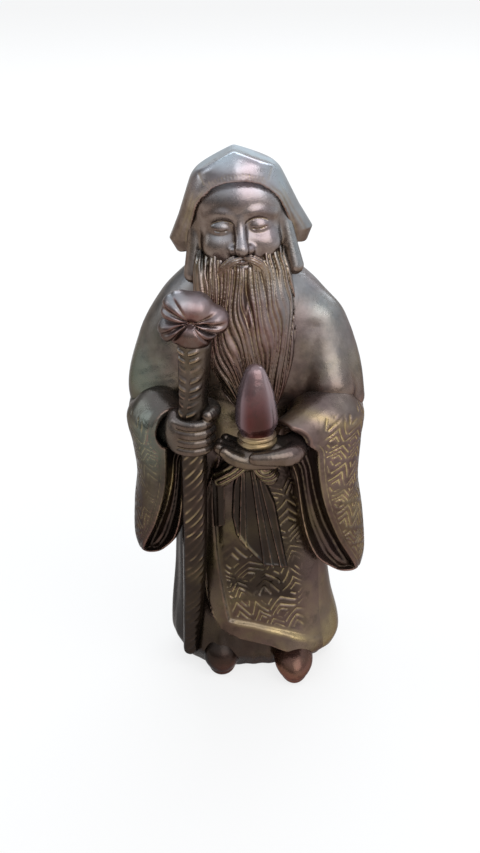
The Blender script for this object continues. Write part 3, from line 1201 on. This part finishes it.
class SAGE_PG_stage(bpy.types.PropertyGroup):
    floor: paint("Floor", (0.9, 0.9, 0.9), "Colour of the floor")
    backdrop: paint("Backdrop", (0.98, 0.98, 0.98), "Colour of the floor as the camera sees it")
    horizon: paint("Horizon", (0.58, 0.58, 0.58), "Colour of the room at eye height")
    shade: paint("Shade", (0.13, 0.15, 0.17), "Colour of the room's darker left side")
    zenith: paint("Zenith", (0.85, 0.88, 0.92), "Colour of the room overhead")
    key_power: power("Key power", 4.5, "Power of the soft key light")
    back_power: power("Back power", 5.5, "Power of the broad light behind")
    side_power: power("Side power", 1.0, "Power of the side light")
    distance: size("Distance", 480, "Camera distance from the figure's middle")
    elevation: bpy.props.FloatProperty(name="Elevation", description="Camera height above the horizon",
                                       default=math.radians(26), subtype="ANGLE")
    roll: bpy.props.FloatProperty(name="Roll", description="Camera roll", default=math.radians(1.9),
                                  subtype="ANGLE")


class SAGE_PG_settings(bpy.types.PropertyGroup):
    finish: bpy.props.PointerProperty(type=SAGE_PG_finish)
    robe: bpy.props.PointerProperty(type=SAGE_PG_robe)
    head: bpy.props.PointerProperty(type=SAGE_PG_head)
    staff: bpy.props.PointerProperty(type=SAGE_PG_staff)
    held: bpy.props.PointerProperty(type=SAGE_PG_held)
    stage: bpy.props.PointerProperty(type=SAGE_PG_stage)


# Operators

class SAGE_OT_robe(bpy.types.Operator):
    """Sculpt the robe and its front panel"""

    bl_idname = "sage.robe"
    bl_label = "Robe"

    def execute(self, context):
        sage = context.scene.sage
        make_piece("robe", lambda p: robe_field(p, sage.robe), around("robe"), "robe",
                   cloth_bronze(sage.finish), robe_gilt)
        make_piece("front_panel", lambda p: panel_field(p, sage.robe), PANEL_BOX, "robe",
                   cloth_bronze(sage.finish), lambda p: panel_gilt(p, sage.robe), "robe")
        return {"FINISHED"}


class SAGE_OT_sleeves(bpy.types.Operator):
    """Sculpt the two hanging sleeves"""

    bl_idname = "sage.sleeves"
    bl_label = "Sleeves"

    def execute(self, context):
        sage = context.scene.sage
        for name, side, drop, reach, front, figured, elbow, wrist in (
            ("right_sleeve", -1, 56.5, 17.5, 26.0, 0.45, (27.5, -13.5, 97.5), (23.2, -22.4, 96.5)),
            ("left_sleeve", 1, 66.0, 12.0, 28.5, 1.0, (27, -16.5, 97.5), (12.4, -30.0, 94.4)),
        ):
            sleeve = Sleeve(sage.robe, side, drop, reach, front, figured, elbow, wrist)
            make_piece(name, sleeve.field, around(name, 4), "robe", cloth_bronze(sage.finish), sleeve.gilt)
        return {"FINISHED"}


class SAGE_OT_head(bpy.types.Operator):
    """Sculpt the head, the hat and the beard"""

    bl_idname = "sage.head"
    bl_label = "Head"

    def execute(self, context):
        sage = context.scene.sage
        for name, field, slot, material, gilt in (
            ("head", head_field, "skin", skin_bronze, None),
            ("hat", hat_field, "robe", cloth_bronze, lambda p: 0.25 * hat_lines(p, sage.head)),
            ("beard", beard_field, "hair", hair_bronze, beard_gilt),
        ):
            make_piece(name, lambda p: field(p, sage.head), around(name, 5), slot,
                       material(sage.finish), gilt)
        return {"FINISHED"}


class SAGE_OT_staff(bpy.types.Operator):
    """Sculpt the staff and its burl"""

    bl_idname = "sage.staff"
    bl_label = "Staff"

    def execute(self, context):
        sage = context.scene.sage
        for name, field, material, gilt in (
            ("staff", staff_field, bark_bronze, staff_gilt),
            ("staff_knob", knob_field, burl_bronze, knob_gilt),
        ):
            make_piece(name, lambda p: field(p, sage.staff), around(name), "staff",
                       material(sage.finish), gilt)
        return {"FINISHED"}


class SAGE_OT_held(bpy.types.Operator):
    """Sculpt the hands and the peach"""

    bl_idname = "sage.held"
    bl_label = "Hands and peach"

    def execute(self, context):
        sage = context.scene.sage
        for name, field, slot, material, gilt in (
            ("right_hand", right_hand_field, "skin", skin_bronze, None),
            ("left_hand", left_hand_field, "skin", skin_bronze, None),
            ("peach", peach_field, "peach", fruit_bronze, peach_gilt),
        ):
            make_piece(name, lambda p: field(p, sage.held), around(name), slot, material(sage.finish), gilt)
        return {"FINISHED"}


class SAGE_OT_trim(bpy.types.Operator):
    """Sculpt the sash and the shoes"""

    bl_idname = "sage.trim"
    bl_label = "Sash and shoes"

    def execute(self, context):
        sage = context.scene.sage
        for name, field, gilt in (("sash_bow", bow_field, bow_gilt), ("sash_tails", tails_field, tails_gilt)):
            make_piece(name, lambda p: field(p, sage.held), around(name, 6), "sash",
                       sash_bronze(sage.finish), gilt)
        for name, x_middle, toe_reach, height in (
            ("right_shoe", RIGHT_SHOE_X, 5.5, 9.0),
            ("left_shoe", LEFT_SHOE_X, 14.0, 6.4),
        ):
            make_piece(name, lambda p: shoe_field(p, x_middle, toe_reach, height, sage.held), around(name),
                       "robe", shoe_bronze(sage.finish), shoe_gilt)
        return {"FINISHED"}


# Stage

# The camera's focal length and shift, in pixels of a picture this high.
PICTURE_HEIGHT, FOCAL_LENGTH, SHIFT_RIGHT, SHIFT_UP = 853, 1468, -6.0, -6.6
SENSOR = 36.0
FIGURE_MIDDLE = Vector((0.0, (SHIFT_Y - 4.0) * MM, 0.09))
FLOOR_REACH, FLOOR_GLOW, FLOOR_GRAIN = 40.0, 0.78, 0.985


def softbox(name, place, width, height, power, colour):
    """A broad lamp aimed at the figure."""
    lamp = bpy.data.lights.new(name, "AREA")
    lamp.shape = "RECTANGLE"
    lamp.size, lamp.size_y, lamp.energy, lamp.color = width, height, power, colour
    box = bpy.data.objects.new(name, lamp)
    box.location = place
    box.rotation_mode = "QUATERNION"
    box.rotation_quaternion = (FIGURE_MIDDLE - Vector(place)).to_track_quat("-Z", "Y")
    bpy.context.scene.collection.objects.link(box)


def lay_floor(stage):
    """A paper floor that the camera and the metal see as a pale backdrop, with the figure's shadow."""
    corners = [(x * FLOOR_REACH, y * FLOOR_REACH, 0) for x, y in ((-1, -1), (1, -1), (1, 1), (-1, 1))]
    mesh = bpy.data.meshes.new("floor")
    mesh.from_pydata(corners, [], [(0, 1, 2, 3)])
    floor = bpy.data.objects.new("floor", mesh)
    bpy.context.scene.collection.objects.link(floor)
    material, shader, start = new_material("floor_paper")
    grain = start.node("TexNoise", {"Scale": 300.0, "Detail": 2.0})
    shade = tuple(FLOOR_GRAIN * channel for channel in stage.floor)
    feed(start, shader, Base_Color=grain.blend(rgba(shade), rgba(stage.floor)))
    shader.inputs["Roughness"].default_value = 0.9
    seen = start.node("LightPath") + start.node("LightPath", output="Is Glossy Ray")
    seen = seen + start.node("LightPath", output="Is Transmission Ray")
    glow = start.node("Emission", {"Color": rgba(stage.backdrop), "Strength": 1.0})
    lit = Socket(start.tree, shader.outputs[0])
    paper = start.node("MixShader", {0: seen.clamped() * FLOOR_GLOW, 1: lit, 2: glow})
    start.tree.links.new(paper.socket, start.tree.nodes["Material Output"].inputs["Surface"])
    mesh.materials.append(material)


def light_room(stage):
    """A room that is darker on its left, and three softboxes."""
    world = bpy.data.worlds.new("studio")
    bpy.context.scene.world = world
    world.use_nodes = True
    air = Socket(world.node_tree, None)
    across = air.node("SeparateXYZ", {0: air.node("TexCoord")})
    height = air.node("SeparateXYZ", {0: air.node("TexCoord")}, output=2)
    walls = across.step(-0.7, 0.6).blend(rgba(stage.shade), rgba(stage.horizon))
    sky = height.step(0.05, 0.75).blend(walls, rgba(stage.zenith))
    sky = height.step(0.03, 0.05).blend(rgba(stage.floor), sky)
    world.node_tree.links.new(sky.socket, world.node_tree.nodes["Background"].inputs["Color"])
    softbox("key", (0.4, -0.6, 0.75), 0.9, 0.9, stage.key_power, (1.0, 0.98, 0.95))
    softbox("back", (0.15, 0.8, 0.6), 1.0, 0.5, stage.back_power, (0.86, 0.94, 1.0))
    softbox("side", (-0.8, 0.2, 0.5), 0.3, 0.5, stage.side_power, (0.8, 0.92, 1.0))


def set_camera(stage):
    scene = bpy.context.scene
    scene.view_settings.view_transform = "Standard"
    camera = bpy.data.cameras.new("camera")
    camera.sensor_width = SENSOR
    camera.lens = FOCAL_LENGTH / PICTURE_HEIGHT * SENSOR
    camera.shift_x, camera.shift_y = SHIFT_RIGHT / PICTURE_HEIGHT, SHIFT_UP / PICTURE_HEIGHT
    camera.clip_start, camera.clip_end = 0.01, 50
    eye = bpy.data.objects.new("camera", camera)
    back = Vector((0, -math.cos(stage.elevation), math.sin(stage.elevation)))
    turn = (-back).to_track_quat("-Z", "Y").to_matrix() @ Matrix.Rotation(-stage.roll, 3, "Z")
    eye.matrix_world = Matrix.Translation(FIGURE_MIDDLE + back * stage.distance) @ turn.to_4x4()
    scene.collection.objects.link(eye)
    scene.camera = eye


class SAGE_OT_stage(bpy.types.Operator):
    """Set the floor, the light and the camera"""

    bl_idname = "sage.stage"
    bl_label = "Stage"

    def execute(self, context):
        stage = context.scene.sage.stage
        lay_floor(stage)
        light_room(stage)
        set_camera(stage)
        return {"FINISHED"}


# Add-on

STEPS = (SAGE_OT_stage, SAGE_OT_robe, SAGE_OT_sleeves, SAGE_OT_head, SAGE_OT_staff, SAGE_OT_held,
         SAGE_OT_trim)


class SAGE_PT_panel(bpy.types.Panel):
    """Lists the settings and the pieces"""

    bl_idname = "SAGE_PT_panel"
    bl_label = "Bronze Sage"
    bl_space_type = "VIEW_3D"
    bl_region_type = "UI"
    bl_category = "Sage"

    def draw(self, context):
        for group in ("finish", "robe", "head", "staff", "held", "stage"):
            box = self.layout.box()
            settings = getattr(context.scene.sage, group)
            for name in settings.__annotations__:
                box.prop(settings, name)
        for step in STEPS:
            self.layout.operator(step.bl_idname)


CLASSES = (SAGE_PG_finish, SAGE_PG_robe, SAGE_PG_head, SAGE_PG_staff, SAGE_PG_held, SAGE_PG_stage,
           SAGE_PG_settings, *STEPS, SAGE_PT_panel)


def register():
    for cls in CLASSES:
        bpy.utils.register_class(cls)
    bpy.types.Scene.sage = bpy.props.PointerProperty(type=SAGE_PG_settings)


def unregister():
    del bpy.types.Scene.sage
    for cls in reversed(CLASSES):
        bpy.utils.unregister_class(cls)


def main():
    register()
    for step in STEPS:
        group, name = step.bl_idname.split(".")
        getattr(getattr(bpy.ops, group), name)()


if __name__ == "__main__":
    main()
